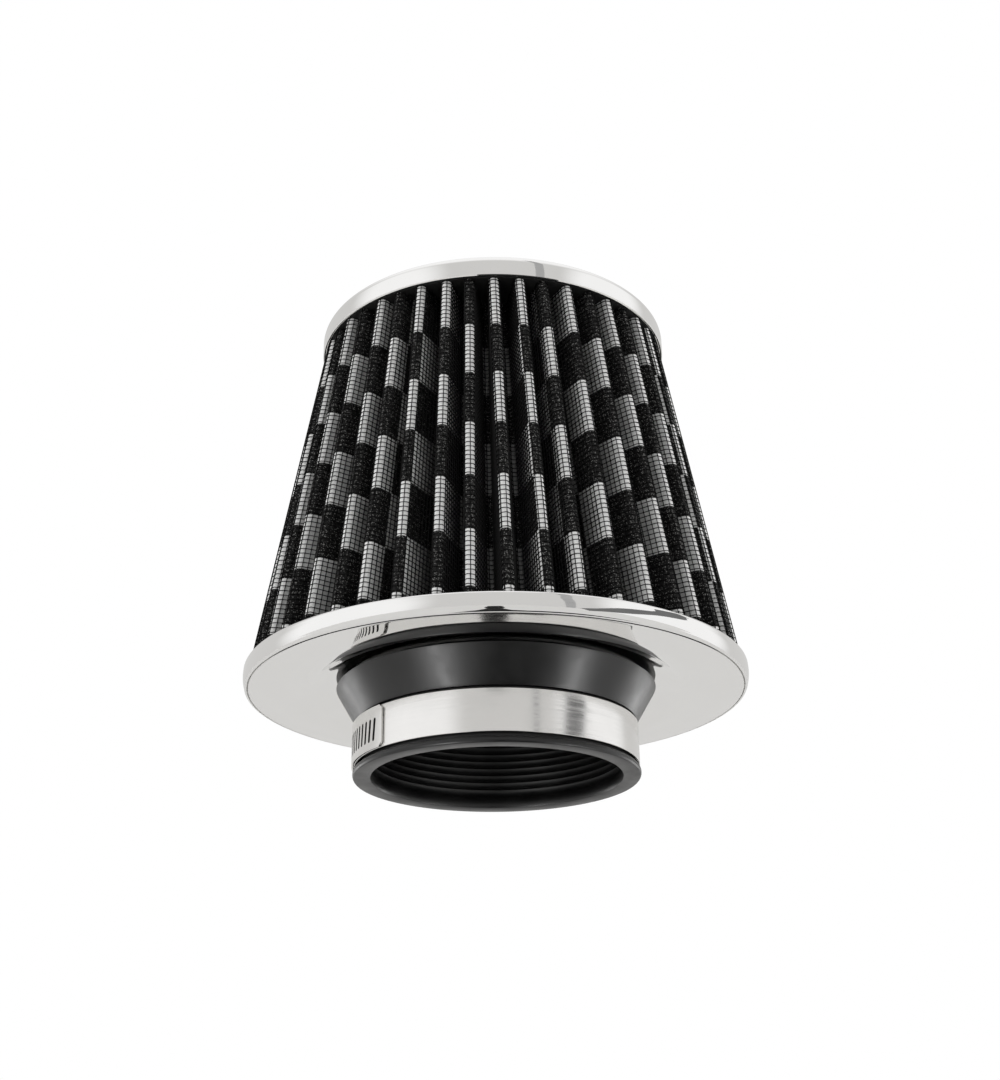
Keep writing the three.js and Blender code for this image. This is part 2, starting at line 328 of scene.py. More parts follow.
def mix_colour(tree, factor, a, b):
    """Colour a at factor 0 and colour b at factor 1."""
    made = tree.nodes.new("ShaderNodeMix")
    made.data_type = "RGBA"
    for socket, value in ((made.inputs["Factor"], factor), (made.inputs["A"], a), (made.inputs["B"], b)):
        if isinstance(value, (int, float)):
            socket.default_value = value
        elif isinstance(value, tuple):
            socket.default_value = (*value, 1)
        else:
            tree.links.new(value, socket)
    return made.outputs["Result"]


def noise(tree, scale, stretch=(1, 1, 1), detail=3.0, roughness=0.5):
    """Noise over the object's own position; scale is in features to a metre."""
    coordinates = node(tree, "ShaderNodeTexCoord")
    mapping = node(tree, "ShaderNodeMapping", {"Scale": stretch})
    tree.links.new(coordinates.outputs["Object"], mapping.inputs["Vector"])
    texture = node(tree, "ShaderNodeTexNoise", {"Scale": scale, "Detail": detail, "Roughness": roughness})
    tree.links.new(mapping.outputs["Vector"], texture.inputs["Vector"])
    return texture.outputs["Fac"]


def spread(tree, value, low, high, start=0.3, end=0.7):
    """Maps a value from start..end to low..high."""
    made = node(tree, "ShaderNodeMapRange", {
        "From Min": start, "From Max": end, "To Min": low, "To Max": high,
    })
    tree.links.new(value, made.inputs["Value"])
    return made.outputs["Result"]


def bump(tree, shader, height, strength, distance):
    """Bumps the surface by a height; distance in metres."""
    made = node(tree, "ShaderNodeBump", {"Strength": strength, "Distance": distance})
    tree.links.new(height, made.inputs["Height"])
    tree.links.new(made.outputs["Normal"], shader.inputs["Normal"])


def chrome_material():
    """Polished plating with a faint haze."""
    material, tree, shader = new_material("chrome")
    shader.inputs["Metallic"].default_value = 1
    haze = noise(tree, 60, detail=4)
    colour = mix_colour(tree, haze, (0.86, 0.855, 0.845), (0.9, 0.895, 0.885))
    tree.links.new(colour, shader.inputs["Base Color"])
    tree.links.new(spread(tree, haze, 0.02, 0.06), shader.inputs["Roughness"])
    return material


def clamp_material():
    """Bright rolled steel, its grain running round the strip."""
    material, tree, shader = new_material("clamp_steel")
    shader.inputs["Metallic"].default_value = 1
    grain = noise(tree, 900, stretch=(0.06, 0.06, 1.6), detail=4)
    haze = noise(tree, 90)
    colour = mix_colour(tree, haze, (0.8, 0.79, 0.775), (0.88, 0.87, 0.855))
    tree.links.new(colour, shader.inputs["Base Color"])
    tree.links.new(spread(tree, grain, 0.1, 0.24), shader.inputs["Roughness"])
    bump(tree, shader, grain, 0.12, 0.00002)
    return material


def rubber_material():
    """Black moulded rubber, a little cloudy and scuffed."""
    material, tree, shader = new_material("neck_rubber")
    cloud = noise(tree, 70, detail=6, roughness=0.65)
    scuff = noise(tree, 1400, stretch=(1, 1, 0.12), detail=2)
    colour = mix_colour(tree, cloud, (0.003, 0.003, 0.0035), (0.008, 0.008, 0.008))
    tree.links.new(colour, shader.inputs["Base Color"])
    shader.inputs["Specular IOR Level"].default_value = 0.55
    tree.links.new(spread(tree, cloud, 0.28, 0.44), shader.inputs["Roughness"])
    bump(tree, shader, scuff, 0.1, 0.00003)
    return material


def urethane_material():
    """Cast potting under the caps."""
    material, tree, shader = new_material("urethane")
    cloud = noise(tree, 120, detail=5)
    colour = mix_colour(tree, cloud, (0.012, 0.012, 0.012), (0.03, 0.03, 0.03))
    tree.links.new(colour, shader.inputs["Base Color"])
    tree.links.new(spread(tree, cloud, 0.45, 0.65), shader.inputs["Roughness"])
    bump(tree, shader, cloud, 0.3, 0.0003)
    return material


def wire_material():
    """Black coated wire, worn here and there."""
    material, tree, shader = new_material("black_wire")
    wear = noise(tree, 500, detail=2)
    colour = mix_colour(tree, wear, (0.002, 0.002, 0.002), (0.008, 0.008, 0.008))
    tree.links.new(colour, shader.inputs["Base Color"])
    shader.inputs["Roughness"].default_value = 0.45
    shader.inputs["Specular IOR Level"].default_value = 0.12
    return material


def crease_shade_material():
    """The fold under the base cap, with painted shade and dark reflection: black at the front and fading to
    plain metal further back.
    """
    material, tree, shader = new_material("crease")
    shade_mottle = noise(tree, 300)
    coordinates = node(tree, "ShaderNodeTexCoord")
    parts = node(tree, "ShaderNodeSeparateXYZ")
    tree.links.new(coordinates.outputs["Object"], parts.inputs[0])
    # painted shade and dark reflection in the fold: black at the front, fading out further back
    shade_fade = spread(tree, parts.outputs[1], 0, 1, -0.05, -0.038)
    # the painted dark of the fold, mottled by noise
    dark = mix_colour(tree, shade_mottle, (0.01, 0.01, 0.01), (0.04, 0.04, 0.038))
    colour = mix_colour(tree, shade_fade, dark, (0.62, 0.615, 0.6))
    tree.links.new(colour, shader.inputs["Base Color"])
    tree.links.new(spread(tree, shade_mottle, 0.5, 0.8), shader.inputs["Roughness"])
    return material


def slot_shadow_material():
    """Painted shadow: the dull dark seen through the slots of the strip."""
    material, tree, shader = new_material("slot_shadow")
    shade_mottle = noise(tree, 400, detail=4)
    # painted shadow, mottled by noise
    colour = mix_colour(tree, shade_mottle, (0.002, 0.002, 0.002), (0.02, 0.02, 0.02))
    tree.links.new(colour, shader.inputs["Base Color"])
    shader.inputs["Roughness"].default_value = 0.8
    shader.inputs["Specular IOR Level"].default_value = 0.1
    return material


def gauze_material():
    """Woven cotton."""
    material, tree, shader = new_material("cotton")
    weave = noise(tree, 1500, detail=2)
    colour = mix_colour(tree, weave, (0.6, 0.58, 0.52), (0.8, 0.78, 0.72))
    tree.links.new(colour, shader.inputs["Base Color"])
    shader.inputs["Roughness"].default_value = 0.9
    return material


def clip_material():
    """Dull pressed metal."""
    material, tree, shader = new_material("seam_metal")
    shader.inputs["Metallic"].default_value = 1
    haze = noise(tree, 300)
    colour = mix_colour(tree, haze, (0.5, 0.5, 0.5), (0.65, 0.65, 0.65))
    tree.links.new(colour, shader.inputs["Base Color"])
    tree.links.new(spread(tree, haze, 0.3, 0.5), shader.inputs["Roughness"])
    return material


def check_factor(tree, across, up):
    """0 on the light checks and 1 on the dark ones, from pleats round and rows up."""
    keep_positive = 1001  # odd, so that the first column's lowest check is dark
    column = math_node(tree, "SUBTRACT", across, COLUMN_START)
    column = math_node(tree, "FLOOR", math_node(tree, "DIVIDE", column, COLUMN_PLEATS))
    row = math_node(tree, "FLOOR", up)
    total = math_node(tree, "ADD", math_node(tree, "ADD", column, row), keep_positive)
    return math_node(tree, "MODULO", total, 2)


def light_thread(tree, fibre, across):
    """Silver thread, with painted shade that darkens it from the ridges down into the folds."""
    bright = mix_colour(tree, fibre, (0.7, 0.7, 0.695), (0.95, 0.95, 0.94))
    # painted shade: the thread darkens from the ridges down to the roots of the folds
    from_ridge = math_node(tree, "PINGPONG", across, 0.5)
    fold_shade = spread(tree, from_ridge, 0, 0.8, 0.07, 0.4)
    return mix_colour(tree, fold_shade, bright, (0.1, 0.1, 0.1))


def dark_thread(tree):
    """Black thread with small grey specks in its colour, partly the yarn's own texture and partly painted
    glints.
    """
    cells = node(tree, "ShaderNodeTexVoronoi", {"Scale": 2100, "Randomness": 1})
    coordinates = node(tree, "ShaderNodeTexCoord")
    tree.links.new(coordinates.outputs["Object"], cells.inputs["Vector"])
    glint = spread(tree, cells.outputs["Distance"], 1, 0, 0.12, 0.42)
    picked = node(tree, "ShaderNodeSeparateColor")
    tree.links.new(cells.outputs["Color"], picked.inputs[0])
    lucky = math_node(tree, "GREATER_THAN", picked.outputs[0], 0.22)
    speck = math_node(tree, "MULTIPLY", glint, lucky, clamp=True)
    # the grey specks: partly the yarn's texture, partly painted glints
    return mix_colour(tree, speck, (0.008, 0.008, 0.008), (0.32, 0.32, 0.31))


def checked_material():
    """Silver and black checks on the unfolded sheet. The UV map holds pleats round and rows up."""
    material, tree, shader = new_material("checked_fabric")
    sheet = node(tree, "ShaderNodeUVMap", uv_map="sheet")
    parts = node(tree, "ShaderNodeSeparateXYZ")
    tree.links.new(sheet.outputs["UV"], parts.inputs[0])
    across, up = parts.outputs[0], parts.outputs[1]
    fibre = noise(tree, 2600, stretch=(1, 1, 0.35), detail=3)
    dark = check_factor(tree, across, up)
    colour = mix_colour(tree, dark, light_thread(tree, fibre, across), dark_thread(tree))
    tree.links.new(colour, shader.inputs["Base Color"])
    shader.inputs["Roughness"].default_value = 0.65
    shader.inputs["Specular IOR Level"].default_value = 0.15
    bump(tree, shader, fibre, 0.4, 0.0001)
    return material


def floor_material():
    """Pale, even paper."""
    material, tree, shader = new_material("floor")
    tone = noise(tree, 3, detail=2)
    colour = mix_colour(tree, tone, (0.6, 0.595, 0.585), (0.63, 0.625, 0.615))
    tree.links.new(colour, shader.inputs["Base Color"])
    shader.inputs["Roughness"].default_value = 0.8
    return material


# ---------------------------------------------------------------- end caps and neck

def top_cap():
    """Pressed cap: a plain skirt, a rounded crown and a shallow dished top."""
    crown = 2.6
    dish = HEIGHT - 1.4
    outside = [(CAP_RADIUS - 0.25, CAP_LOW), (CAP_RADIUS, CAP_LOW + 0.3), (CAP_RADIUS, CAP_LOW + 2.5)]
    outside += arc((CAP_RADIUS - crown, HEIGHT - crown), (crown, crown), 0, 90, 10)
    outside += spline([(50, HEIGHT), (46.5, HEIGHT - 0.15), (43.5, dish + 0.2), (40, dish)], 6)
    outside += [(20, dish), (0, dish)]
    return lathe("top_cap", inset(outside, SHEET)[::-1] + outside, closed=False)


def base_cap():
    """Pressed base: a dished underside, a tight crease, and a turned-up rim that holds the pleats."""
    hole = 45.6
    low = BASE_LOW
    underside = spline([
        (hole, low + 3.45), (49.5, low + 3.45), (52.2, low + 3.2), (55.5, low + 2.05), (58.5, low + 1.0),
        (63, low + 0.2), (69, low), (75.6, low + 0.15),
    ], 8)
    crease = [(CREASE_IN, low + 0.2), (CREASE_IN + 0.1, low + CREASE_DEPTH)]
    crease += [(CREASE_OUT - 0.1, low + CREASE_DEPTH), (CREASE_OUT, low + 0.3)]
    fold = arc((76.4, low + 1.0), (0.75, 0.75), -82, -20, 6)
    band = spline([
        (77.12, low + 0.85), (77.45, low + 2.2), (BASE_RADIUS, low + 3.8), (BASE_RADIUS - 0.08, low + 5.2),
    ], 5)[1:]
    lip = arc((BASE_RADIUS - 0.85, 31.4), (0.75, 0.8), 10, 90, 6)
    inner = [(BASE_RADIUS - 1.05, 32.1)]
    inner += inset(underside + fold[3:] + band, SHEET)[::-1]
    return lathe("base_cap", inner + underside + crease + fold + band + lip, smooth_angle=40)


def paint_crease_shade(cap):
    """The crease round the base cap's underside gets the painted shade and dark reflection of the fold."""
    margin = 0.05
    # second slot: painted shade and dark reflection in the crease
    cap.data.materials.append(CREASE_SHADE)
    for face in cap.data.polygons:
        radius = Vector(face.center[:2]).length / MM
        height = face.center.z / MM - BASE_LOW
        if CREASE_IN - margin < radius < CREASE_OUT + margin and height < CREASE_DEPTH + margin:
            face.material_index = 1


def bore_rings(count=11, first=3.6, pitch=2.35, depth=0.2):
    """Fine grooves inside the bore, from the mouth up, as (radius, height) points."""
    points = []
    for i in range(count):
        z = first + i * pitch
        points += [(BORE_RADIUS, z), (BORE_RADIUS + depth, z + 0.3)]
        points += [(BORE_RADIUS + depth, z + pitch * 0.7), (BORE_RADIUS + 0.05, z + pitch - 0.25)]
    return points


def neck():
    """Moulded neck: mouth lip, clamp seat, cone, sharp collar, waist and inner flange."""
    seat = 41.9
    collar_z = 27.6
    collar = 49.2
    waist = 45.3
    flange = 50
    outside = arc((43.1, 1.05), (0.6, 1.05), -90, 90, 10)
    outside += [(42.3, 2.2), (seat, 2.35), (seat, 16.7), (42.9, 16.85), (43.3, 17.4)]
    outside += spline([(43.6, 17.9), (46.2, 22.4), (collar - 0.12, collar_z - 0.25)], 6)
    outside += [(collar, collar_z), (collar - 0.15, collar_z + 0.12)]
    outside += spline([(47.6, collar_z + 0.25), (45.9, collar_z + 0.5), (waist, collar_z + 1.2)], 4)
    outside += [(waist, 30.65), (flange, 30.7), (flange, NECK_TOP - 0.8), (flange - 0.6, NECK_TOP - 0.3)]
    outside += [(BORE_RADIUS + 0.4, NECK_TOP), (BORE_RADIUS, NECK_TOP - 0.5)]
    inside = bore_rings()[::-1]
    inside += [(BORE_RADIUS, 1.0), (BORE_RADIUS + 0.3, 0.25), (BORE_RADIUS + 0.9, 0)]
    return lathe("neck", outside + inside, smooth_angle=38)


# ---------------------------------------------------------------- pleats

def fold_turns():
    """The angle of every ridge and root at the foot and at the head, a little uneven as folded cloth is."""
    rng = random.Random(SEED)
    pitch = math.pi / PLEATS
    foot, head = [], []
    for fold in range(2 * PLEATS):
        turn = FIRST_RIDGE + fold * pitch
        looseness = math.radians(0.8 if fold % 2 == 0 else 0.35)
        drift = rng.uniform(-looseness, looseness)
        foot.append(turn + FOOT_TWIST + drift)
        head.append(turn + drift * 0.4 + rng.uniform(-looseness, looseness) * 0.35)
    return foot, head


FOOT_TURNS, HEAD_TURNS = fold_turns()


def fold_ring(turns, ridge, z, offset, leg_points=()):
    """One ring of the folded sheet at a distance outwards from its middle surface, as (n, 3) points."""
    ridge_centre = ridge - RIDGE_CURL - PACK_HALF
    root_centre = ridge - PLEAT_DEPTH + ROOT_CURL - PACK_HALF
    rings = []
    for fold, turn in enumerate(turns):
        on_ridge = fold % 2 == 0
        steps = RIDGE_STEPS if on_ridge else ROOT_STEPS
        swing = RIDGE_ARC if on_ridge else ROOT_ARC
        curl = RIDGE_CURL + offset if on_ridge else -(ROOT_CURL - offset)
        centre = ridge_centre if on_ridge else root_centre
        points = []
        for step in range(steps + 1):
            angle = swing * (2 * step / steps - 1)
            along = centre + curl * math.cos(angle)
            side = abs(curl) * math.sin(angle)
            points.append((
                along * math.cos(turn) - side * math.sin(turn),
                along * math.sin(turn) + side * math.cos(turn),
                z,
            ))
        rings.append(points)
    ring = []
    for here, after in zip(rings, rings[1:] + rings[:1]):
        ring += here
        start, end = np.array(here[-1]), np.array(after[0])
        ring += [tuple(start + (end - start) * share) for share in leg_points]
    return np.array(ring)


def pleat_surface(offset, leg_points=()):
    """The foot ring and the head ring of the sheet at one offset."""
    foot = fold_ring(FOOT_TURNS, RIDGE_FOOT, PLEAT_LOW, offset, leg_points)
    head = fold_ring(HEAD_TURNS, RIDGE_HEAD, PLEAT_HIGH, offset, leg_points)
    return foot, head


def sheet_travel(foot, head):
    """How far each point is along the unfolded sheet, half way up, with the full way round last."""
    middle = (foot + head) / 2
    steps = np.linalg.norm(np.roll(middle, -1, axis=0) - middle, axis=1)
    return np.concatenate([[0], np.cumsum(steps)])


def pleated_sheet(name, low, high, rows=12, leg_points=(0.1, 0.5, 0.9)):
    """A pleated sleeve between two offsets, with a UV map of pleats round and rows up."""
    outer = pleat_surface(high, leg_points)
    inner = pleat_surface(low, leg_points)
    count = len(outer[0])
    shares = np.linspace(0, 1, rows + 1)
    levels = [outer[0] * (1 - s) + outer[1] * s for s in shares]
    levels += [inner[0] * (1 - s) + inner[1] * s for s in shares[::-1]]
    heights = [*shares, *shares[::-1]]
    faces = []
    for level in range(len(levels)):
        here, above = level * count, (level + 1) % len(levels) * count
        for i in range(count):
            j = (i + 1) % count
            faces.append((here + i, here + j, above + j, above + i))
    obj = new_object(name, np.concatenate(levels).tolist(), faces)
    travel = sheet_travel(*outer)
    travel *= PLEATS / travel[-1]
    travel -= travel[1] * RIDGE_STEPS / 2
    layer = obj.data.uv_layers.new(name="sheet")
    row_of = [(PLEAT_LOW + (PLEAT_HIGH - PLEAT_LOW) * s - ROW_START) / ROW_HEIGHT for s in heights]
    flat = []
    for level in range(len(levels)):
        v_here, v_above = row_of[level], row_of[(level + 1) % len(levels)]
        for i in range(count):
            flat += [travel[i], v_here, travel[i + 1], v_here, travel[i + 1], v_above, travel[i], v_above]
    layer.data.foreach_set("uv", flat)
    shade(obj, 50)
    return obj


def tube_faces(stations, closed, first=0):
    """Faces of a three-sided wire whose stations hold three vertices each."""
    faces = []
    for i in range(stations if closed else stations - 1):
        here = first + 3 * i
        there = first + 3 * ((i + 1) % stations)
        for j in range(3):
            k = (j + 1) % 3
            faces.append((here + j, there + j, there + k, here + k))
    if not closed:
        faces.append((first + 2, first + 1, first))
        last = first + 3 * (stations - 1)
        faces.append((last, last + 1, last + 2))
    return faces


def ring_wires(name, side):
    """The wires that run round the pleats, one above the other; side is 1 outside and -1 inside."""
    rng = random.Random(SEED + 1)
    base, tip = pleat_surface(side * RING_BASE), pleat_surface(side * RING_TIP)
    height = PLEAT_HIGH - PLEAT_LOW
    stations = len(base[0])
    wobble = [rng.uniform(-0.08, 0.08) for _ in range(stations)]
    vertices, faces = [], []
    half = WIRE_HALF / height
    for wire in range(RING_WIRES):
        level = (wire + 0.5) / RING_WIRES
        shift = [(w + rng.uniform(-0.05, 0.05)) / height for w in wobble]
        first = len(vertices)
        for i in range(stations):
            share = level + shift[i]
            low = base[0][i] * (1 - share + half) + base[1][i] * (share - half)
            mid = tip[0][i] * (1 - share) + tip[1][i] * share
            high = base[0][i] * (1 - share - half) + base[1][i] * (share + half)
            vertices += [low.tolist(), mid.tolist(), high.tolist()]
        faces += tube_faces(stations, True, first)
    return new_object(name, vertices, faces, smooth_angle=20)


def upright_wires(name, side):
    """The wires that run up the pleats, evenly spaced round the unfolded sheet."""
    rng = random.Random(SEED + 2)
    base, tip = pleat_surface(side * UPRIGHT_BASE), pleat_surface(side * UPRIGHT_TIP)
    travel = sheet_travel(*base)
    total = UPRIGHTS_PER_PLEAT * PLEATS
    vertices, faces = [], []
    for wire in range(total):
        place_at = (wire + 0.5 + rng.uniform(-0.06, 0.06)) * travel[-1] / total
        i = int(np.searchsorted(travel, place_at) - 1)
        j = (i + 1) % len(base[0])
        share = (place_at - travel[i]) / (travel[i + 1] - travel[i])
        first = len(vertices)
        for end in (0, 1):
            along = base[end][j] - base[end][i]
            side = along / np.linalg.norm(along) * WIRE_HALF
            foot = base[end][i] + along * share
            top = tip[end][i] + (tip[end][j] - tip[end][i]) * share
            vertices += [(foot + side).tolist(), top.tolist(), (foot - side).tolist()]
        faces += tube_faces(2, False, first)
    return new_object(name, vertices, faces)


# ---------------------------------------------------------------- clamp

def strip_section(inner, thickness, low, high, edge=0.12):
    """A strip's section with its edges eased, anticlockwise."""
    outer = inner + thickness
    return [
        (inner + edge, low), (outer - edge, low), (outer, low + edge), (outer, high - edge),
        (outer - edge, high), (inner + edge, high), (inner, high - edge), (inner, low + edge),
    ]


def clamp_band():
    """The fixed part of the strip, all the way round."""
    section = strip_section(BAND_OUTER - STRIP, STRIP, BAND_LOW, BAND_HIGH)
    band = swept_hoop("clamp_band_strip", section, BAND_START, BAND_START + BAND_SWEEP)
    shade(band, 35)
    return band


def slot_cutter(angle):
    """A slanted slot with round ends, cut through the tail at an angle in degrees."""
    width, length, lean = 1.15, 6.9, 5.5
    straight = (length - width) / 2
    outline = arc((straight, 0), (width / 2, width / 2), -90, 90, 6)
    outline += arc((-straight, 0), (width / 2, width / 2), 90, 270, 6)
    cutter = extrude("slot", outline, -1, 1)
    stand = Matrix.Rotation(math.radians(-90), 4, "Y")
    tilt = Matrix.Rotation(math.radians(-lean), 4, "X")
    shift = Matrix.Translation(Vector((TAIL_INNER + STRIP / 2, 0, BAND_MIDDLE - 0.65)) * MM)
    turn = Matrix.Rotation(math.radians(angle), 4, "Z")
    return place(cutter, turn @ shift @ tilt @ stand)


def corner_cutter(z):
    """Trims one corner of the tail's free end."""
    size = 0.9
    cutter = extrude("corner", rectangle(-size, size, -size, size), -size, size)
    stand = Matrix.Rotation(math.radians(45), 4, "X")
    shift = Matrix.Translation(Vector((TAIL_INNER + STRIP / 2, 0, z)) * MM)
    turn = Matrix.Rotation(math.radians(TAIL_END), 4, "Z")
    return place(cutter, turn @ shift @ stand)


def clamp_tail():
    """The free end of the strip, with a slot at every pitch and trimmed corners."""
    section = strip_section(TAIL_INNER, STRIP, BAND_LOW, BAND_HIGH)
    tail = swept_hoop("clamp_tail_strip", section, TAIL_ROOT, TAIL_END)
    pitch = math.degrees(SLOT_PITCH / (TAIL_INNER + STRIP / 2))
    cutters = [corner_cutter(BAND_LOW), corner_cutter(BAND_HIGH)]
    angle = TAIL_END - 1.5 * pitch
    while angle > TAIL_ROOT + pitch / 2:
        cutters.append(slot_cutter(angle))
        angle -= pitch
    cut(tail, join(cutters))
    shade(tail, 35)
    return tail


def slot_shadow():
    """A thin sheet behind the tail's slots that carries their painted shadow."""
    margin = 2.2
    section = strip_section(TAIL_INNER - 0.06, 0.05, BAND_LOW + margin, BAND_HIGH - margin, 0.01)
    return swept_hoop("tail_slot_shadow", section, TAIL_ROOT + 1, TAIL_END - 2.2)


def clamp_saddle():
    """A channel under the band, with a lip along each edge of it."""
    wall = 0.55
    inner, outer, lip = 42.15, 42.65, 44.9
    low, high = BAND_LOW - 0.15, BAND_HIGH + 0.15
    section = [
        (inner, low - wall), (lip, low - wall), (lip, low), (outer, low), (outer, high), (lip, high),
        (lip, high + wall), (inner, high + wall),
    ]
    start, end = HOUSING_ANGLE - SADDLE_HALF_SWEEP, HOUSING_ANGLE + SADDLE_HALF_SWEEP
    saddle = swept_hoop("clamp_saddle_channel", section, start, end)
    bevel(saddle, 0.12)
    shade(saddle, 35)
    return saddle


def screw_frame():
    """Takes shapes made along +Z to the screw's axis: +X outwards from the neck, +Z along the axis."""
    turn = Matrix.Rotation(math.radians(HOUSING_ANGLE), 4, "Z")
    shift = Matrix.Translation(Vector((SCREW_RADIUS, 0, BAND_MIDDLE)) * MM)
    return turn @ shift @ Matrix.Rotation(math.radians(-90), 4, "X")


def housing_line(extra):
    """The arch's outline as (along the band's width, outwards) points, grown outwards by extra."""
    half = (BAND_HIGH - BAND_LOW) / 2 + 0.85 + extra
    reach = HOUSING_RADIUS + extra
    leg_low = 44.2 - SCREW_RADIUS
    shoulder = leg_low + 1.8 - HOUSING_WALL + extra
    start = math.degrees(math.asin(shoulder / reach))
    curve = arc((0, 0), (reach, reach), start, 180 - start, 28)
    return [(half, leg_low), (half, shoulder), *curve, (-half, shoulder), (-half, leg_low)]


def clamp_housing():
    """An arch over the worm, with shoulders and legs beside the band, and an end ring at each end."""
    end = HOUSING_LENGTH / 2
    outline = housing_line(HOUSING_WALL) + housing_line(0)[::-1]
    cover = extrude("clamp_housing_arch", [(y, -x) for x, y in outline], -end, end)
    bevel(cover, 0.14)
    rings = []
    for low in (-end + 0.05, end - 0.85):
        section = rectangle(2.6, HOUSING_RADIUS + 0.1, low, low + 0.8)
        rings.append(lathe("end_ring", section, segments=48))
    housing = join([cover, *rings])
    place(housing, screw_frame())
    shade(housing, 35)
    return housing


def worm(length):
    """The screw's thread: a bar whose radius follows a right-hand helix."""
    root, around, per_turn = 2.7, 48, 20
    stations = round(length / SLOT_PITCH * per_turn)
    vertices, faces = [], []
    for i in range(stations + 1):
        z = -length / 2 + length * i / stations
        fade = min(1, 4 * min(i, stations - i) / per_turn)
        for k in range(around):
            angle = 2 * math.pi * k / around
            phase = math.cos(2 * math.pi * z / SLOT_PITCH - angle)
            lift = (WORM_RADIUS - root) * min(1, max(0, 0.5 + 1.1 * phase)) * fade
            vertices.append(((root + lift) * math.cos(angle), (root + lift) * math.sin(angle), z))
    for i in range(stations):
        for k in range(around):
            j = (k + 1) % around
            faces.append((i * around + k, i * around + j, (i + 1) * around + j, (i + 1) * around + k))
    faces.append(tuple(reversed(range(around))))
    faces.append(tuple(range(stations * around, (stations + 1) * around)))
    return new_object("clamp_worm_screw", vertices, faces)


def clamp_screw():
    """Worm, journals, collar and a slotted hexagon head."""
    foot = -HOUSING_LENGTH / 2 - 0.9
    collar_at = HOUSING_LENGTH / 2 + 0.3
    head_at = collar_at + 0.8
    head_top = head_at + 4.6
    head_radius = 4.0
    journal = 2.3
    shaft = lathe("shaft", [
        (0, foot), (journal - 0.3, foot), (journal, foot + 0.3), (journal, collar_at), (3.7, collar_at),
        (4.0, collar_at + 0.2), (4.0, head_at - 0.1), (3.8, head_at), (0, head_at),
    ], segments=64, closed=False)
    hexagon = arc((0, 0), (head_radius, head_radius), 0, 300, 5)
    head = extrude("head", hexagon, head_at - 0.05, head_top)
    slot = extrude("slot", rectangle(-6, 6, -0.55, 0.55), head_top - 1.6, head_top + 1)
    cut(head, slot)
    bevel(head, 0.25)
    screw = join([worm(HOUSING_LENGTH - 2.2), shaft, head])
    screw.name = "clamp_worm_screw"
    place(screw, screw_frame())
    shade(screw, 35)
    return screw


# ---------------------------------------------------------------- assembly

CHROME = chrome_material()
STEEL = clamp_material()
RUBBER = rubber_material()
URETHANE = urethane_material()
WIRE = wire_material()
GAUZE = gauze_material()
CLIP = clip_material()
CHECKED = checked_material()
CREASE_SHADE = crease_shade_material()
SLOT_SHADOW = slot_shadow_material()


def dress(obj, material, body, node_name):
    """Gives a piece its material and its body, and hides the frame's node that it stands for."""
    obj.data.materials.clear()
    obj.data.materials.append(material)
    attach(obj, body)
    if node_name:
        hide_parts(node_name)


def paint_node(node_name, material):
    """Gives a material to a piece that comes straight from the frame."""
    target = frame["nodes"][node_name]
    target.data.materials.clear()
    target.data.materials.append(material)


dress(top_cap(), CHROME, "element", "top_cap_shell")
BASE_CAP = base_cap()
dress(BASE_CAP, CHROME, "element", "base_cap_shell")
# painted shade and dark reflection in the base cap's crease
paint_crease_shade(BASE_CAP)
NECK = neck()
dress(NECK, RUBBER, "element", "rubber_neck")
CHECKED_PLY = pleated_sheet("checked_ply", PLY_LOW, PLY_HIGH)
dress(CHECKED_PLY, CHECKED, "element", "checked_fabric_ply")
GAUZE_PLY = pleated_sheet("gauze_ply", -PLY_HIGH, -PLY_LOW, rows=2)
dress(GAUZE_PLY, GAUZE, "element", "cotton_gauze_ply")
for label, side in (("outer", 1), ("inner", -1)):
    dress(ring_wires(label + "_mesh_rings", side), WIRE, "element", label + "_wire_mesh")
    dress(upright_wires(label + "_mesh_uprights", side), WIRE, "element", None)
paint_node("upper_potting_disc", URETHANE)
paint_node("lower_potting_ring", URETHANE)
paint_node("media_seam_clip", CLIP)
dress(clamp_band(), STEEL, "clamp", "clamp_band")
dress(clamp_saddle(), STEEL, "clamp", "clamp_saddle")
dress(clamp_housing(), STEEL, "clamp", "clamp_housing")
dress(clamp_tail(), STEEL, "tail", "clamp_band_tail")
# a sheet of painted shadow behind the tail's slots
dress(slot_shadow(), SLOT_SHADOW, "tail", None)
dress(clamp_screw(), STEEL, "screw", "clamp_screw")


# ---------------------------------------------------------------- stage, light and camera

FLOOR_Z = -350


def floor():
    """A wide pale floor below the camera."""
    reach = 40000
    corners = [(x, y, 0) for x, y in rectangle(-reach, reach, -reach, reach)]
    plane = new_object("floor", corners, [(0, 1, 2, 3)])
    plane.location.z = FLOOR_Z * MM
    plane.data.materials.append(floor_material())


def sheen_light(name, direction, width, power):
    """A small soft light, aimed at the neck, that shows only as a sheen on the rubber."""
    height, distance = 0.16, 0.52
    neck_middle = Vector((0, 0, 0.02))
    data = bpy.data.lights.new(name, "AREA")
    data.shape = "RECTANGLE"
    data.size = width
    data.size_y = height
    data.energy = power
    light = bpy.data.objects.new(name, data)
    light.location = direction * distance + neck_middle
    light.rotation_euler = (-direction).to_track_quat("-Z", "Y").to_euler()
    light.visible_camera = False
    light.visible_diffuse = False
    light.light_linking.receiver_collection = SHEEN_RECEIVERS
    bpy.context.scene.collection.objects.link(light)


def toward(azimuth, elevation):
    """A unit direction; azimuth in degrees to the right of the front, elevation up from level."""
    turn, rise = math.radians(azimuth), math.radians(elevation)
    return Vector((math.sin(turn) * math.cos(rise), -math.cos(turn) * math.cos(rise), math.sin(rise)))


